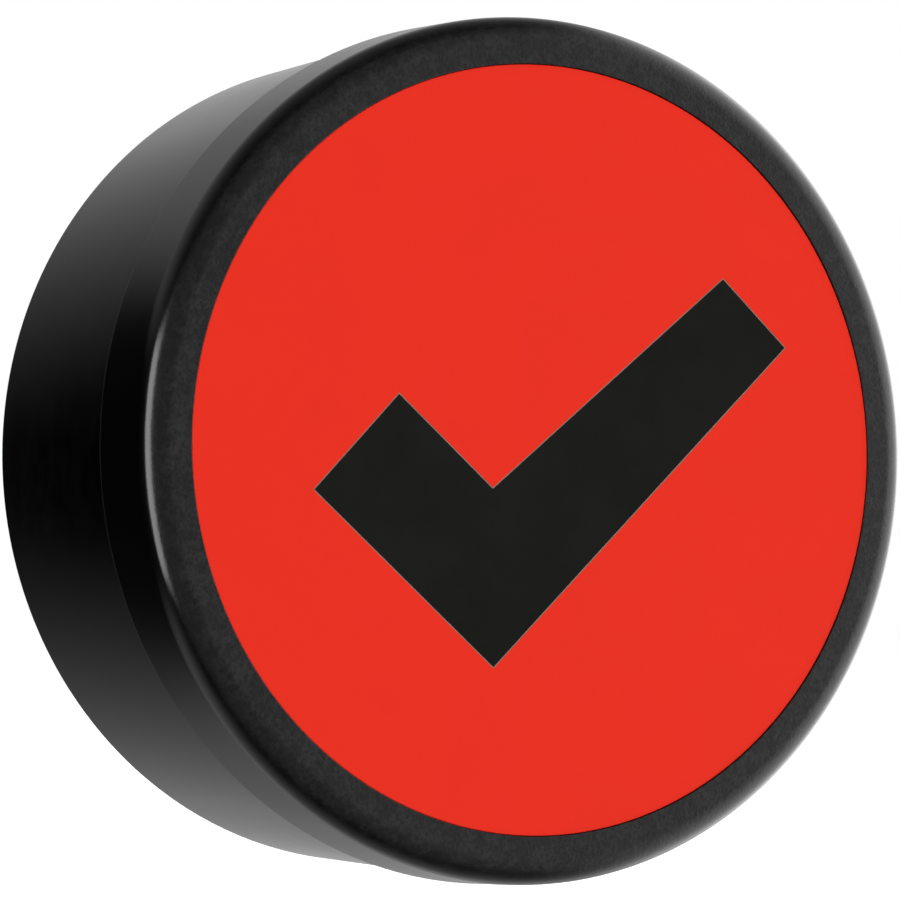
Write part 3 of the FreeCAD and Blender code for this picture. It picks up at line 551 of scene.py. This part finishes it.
def make_tick_inlay():
    """The tick: a prism with a fine bevel round its front, which has the second material, a painted
    highlight.
    """
    bm = bmesh.new()
    corners = tick_corners()
    rear, _ = loop(bm, corners, TICK_FLOOR)
    edge, _ = loop(bm, corners, CAP_FACE - TICK_BEVEL_DEPTH)
    front, _ = loop(bm, inset(corners, TICK_BEVEL_WIDTH), CAP_FACE)
    bridge(bm, rear, edge)
    first_bevel = len(bm.faces)
    bridge(bm, edge, front)
    bm.faces.ensure_lookup_table()
    # The bevel's faces take the second material, a pale painted highlight.
    for face in bm.faces[first_bevel:]:
        face.material_index = 1
    bm.faces.new(front)
    bm.faces.new(rear)
    return new_piece("tick", bm, TICK_SHARP_ANGLE)


def make_return_springs():
    """Three coil springs on the deck, each a round wire along a helix."""
    bm = bmesh.new()
    first = SPRING_REAR + SPRING_WIRE
    last = SPRING_FRONT - SPRING_WIRE
    steps = int(SPRING_COILS * SPRING_STEPS_PER_COIL)
    for post in range(POSTS):
        post_angle = POST_ANGLE + post * 2 * math.pi / POSTS
        middle = Vector((math.cos(post_angle), 0, math.sin(post_angle))) * POST_PITCH
        sections = []
        for step in range(steps + 1):
            turn = post_angle + 2 * math.pi * SPRING_COILS * step / steps
            outward = Vector((math.cos(turn), 0, math.sin(turn)))
            level = first + (last - first) * step / steps
            centre = middle + outward * SPRING_RADIUS - Vector((0, level, 0))
            sections.append([
                bm.verts.new(centre + outward * across - Vector((0, along, 0)))
                for across, along in circle_points(SPRING_WIRE, SPRING_WIRE_SIDES)])
        for section, following in zip(sections, sections[1:]):
            bridge(bm, section, following)
        bm.faces.new(sections[0])
        bm.faces.new(sections[-1])
    return new_piece("springs", bm, SPRING_SHARP_ANGLE)


def squash_springs(springs):
    """Give the springs a mesh of their own."""
    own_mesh(springs)


def dress(piece, body, node, slot, *finishes):
    """Give a piece its finishes and its body, and hide the CAD node it stands for. The slot is not
    used.
    """
    for finish in finishes:
        piece.data.materials.append(finish)
    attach(piece, body)
    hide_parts(node)


def dress_frame(materials):
    """Each CAD node gets its slot's material."""
    for row in frame["record"]["subparts"]:
        node = frame["nodes"][row["node"]]
        for index in range(len(node.material_slots)):
            node.material_slots[index].material = materials[row["material_slot"]]


# ---------------------------------------------------------------- studio
def make_camera():
    """A long lens, to the left of the cap and a little below its middle."""
    # The cap's axis, in the camera's own axes of right, up and towards the viewer
    facing = Vector((math.sin(VIEW_YAW) * math.cos(VIEW_PITCH), math.sin(VIEW_PITCH),
                     math.cos(VIEW_YAW) * math.cos(VIEW_PITCH)))
    across = Vector((0, 1, 0)).cross(facing).normalized()
    up = facing.cross(across)

    def to_row(point):
        """What is given in the camera's axes, in the axes of the frame."""
        return Vector((point.dot(across), -point.dot(facing), point.dot(up)))

    face_centre = Vector((0, -RING_FRONT, 0))
    place = face_centre + to_row(Vector((-FACE_OFFSET_RIGHT, -FACE_OFFSET_UP, VIEW_DISTANCE)))
    axes = [to_row(Vector(axis)) for axis in ((1, 0, 0), (0, 1, 0), (0, 0, 1))]
    camera = bpy.data.objects.new("camera", bpy.data.cameras.new("camera"))
    camera.data.lens = VIEW_LENS
    camera.data.sensor_width = VIEW_SENSOR
    camera.data.clip_start = 10 * MM
    camera.matrix_world = Matrix.Translation(place) @ Matrix(axes).transposed().to_4x4()
    bpy.context.scene.collection.objects.link(camera)
    bpy.context.scene.camera = camera


def make_floor():
    """A plain pale floor, well below the button, which hangs as it does on a wall."""
    bm = bmesh.new()
    bmesh.ops.create_grid(bm, x_segments=1, y_segments=1, size=FLOOR_REACH)
    mesh = bpy.data.meshes.new("floor")
    bm.to_mesh(mesh)
    bm.free()
    floor = bpy.data.objects.new("floor", mesh)
    floor.location = (0, 0, -FLOOR_DROP)
    floor.data.materials.append(Finish("floor_white").set(
        Base_Color=(0.95, 0.95, 0.95), Roughness=0.9, Emission_Color=(1, 1, 1),
        Emission_Strength=0.25))
    floor.visible_glossy = False
    floor.visible_diffuse = False
    bpy.context.scene.collection.objects.link(floor)


def make_world():
    """A white tent round the button, plain white to the camera.

    In the gloss it shows as a wall, a roof and a ground behind the button, with a faint glow in
    front and a bright one at the right. On matt surfaces it is a soft fill, more from the right.
    """
    world = bpy.data.worlds.new("tent")
    world.use_nodes = True
    bpy.context.scene.world = world
    nodes = Nodes(world.node_tree)

    def ramp(value, span):
        low, high, reached = span
        return nodes.between(value, 0.0, reached, (low, high), "SMOOTHSTEP")

    def fade(value, span):
        return nodes.plus(1.0, ramp(value, span))

    place = nodes.add("ShaderNodeTexCoord").outputs["Generated"]
    direction = nodes.add("ShaderNodeSeparateXYZ", Vector=place).outputs
    right = direction["X"]
    back = direction["Y"]
    up = direction["Z"]
    down = nodes.times(up, -1.0)
    forwards = nodes.times(back, -1.0)
    steepness = nodes.calculate("ABSOLUTE", up)

    wall_start, wall_end, wall_brightness = TENT_WALL_RIGHTWARDS
    slope = nodes.between(right, 0.0, wall_brightness, (wall_start, wall_end))
    ends = nodes.times(fade(down, TENT_WALL_FADE_DOWN), fade(steepness, TENT_WALL_FADE_ENDS))
    wall = nodes.times(slope, ends)
    roof = nodes.times(ramp(up, TENT_ROOF_UP), fade(up, TENT_ROOF_FADE_UP))
    ground = nodes.times(ramp(down, TENT_GROUND_DOWN), fade(down, TENT_GROUND_FADE_DOWN))
    tent = nodes.calculate("MAXIMUM", wall, nodes.plus(roof, ground))
    glow = nodes.plus(ramp(forwards, FRONT_GLOW_FORWARDS), ramp(right, SIDE_GLOW_RIGHTWARDS))
    gloss = nodes.plus(nodes.times(tent, ramp(back, TENT_BACKWARDS)), glow)

    ray_is = nodes.add("ShaderNodeLightPath").outputs
    on_matt = nodes.times(ray_is["Is Diffuse Ray"], ramp(right, SOFT_FILL_RIGHTWARDS))
    in_gloss = nodes.times(ray_is["Is Glossy Ray"], gloss)
    strength = nodes.plus(ray_is["Is Camera Ray"], nodes.plus(on_matt, in_gloss))
    background = nodes.tree.nodes["Background"]
    nodes.feed(background.inputs["Strength"], strength)
    nodes.feed(background.inputs["Color"], (1, 1, 1))


def make_side_light():
    """A tall soft light at the left, which draws the bright line down the ring's edge."""
    light = bpy.data.lights.new("side_light", "AREA")
    light.shape = "RECTANGLE"
    light.size = LAMP_WIDTH
    light.size_y = LAMP_HEIGHT
    light.energy = LAMP_ENERGY
    lamp = bpy.data.objects.new("side_light", light)
    lamp.location = LAMP_PLACE
    lamp.rotation_euler = (LAMP_AIM - LAMP_PLACE).to_track_quat("-Z", "Y").to_euler()
    lamp.visible_diffuse = False
    lamp.visible_camera = False
    bpy.context.scene.collection.objects.link(lamp)


# ---------------------------------------------------------------- the scene
bpy.context.scene.view_settings.view_transform = "Standard"
finishes = make_materials()
dress_frame(finishes)
dress(make_bezel_ring(), "housing", "bezel_ring", "ring_black", finishes["ring_black"])
dress(make_body_shell(), "housing", "body_shell", "shell_black", finishes["shell_black"])
dress(make_button_cap(), "cap", "button_cap", "cap_red", finishes["cap_red"])
# The tick's second material is a pale painted highlight on its bevel.
dress(make_tick_inlay(), "cap", "tick_inlay", "tick_black", finishes["tick_black"], painted_bevel_highlight())
springs = make_return_springs()
dress(springs, "housing", "return_springs", "spring_steel", finishes["spring_steel"])
squash_springs(springs)
make_camera()
make_floor()
make_world()
make_side_light()
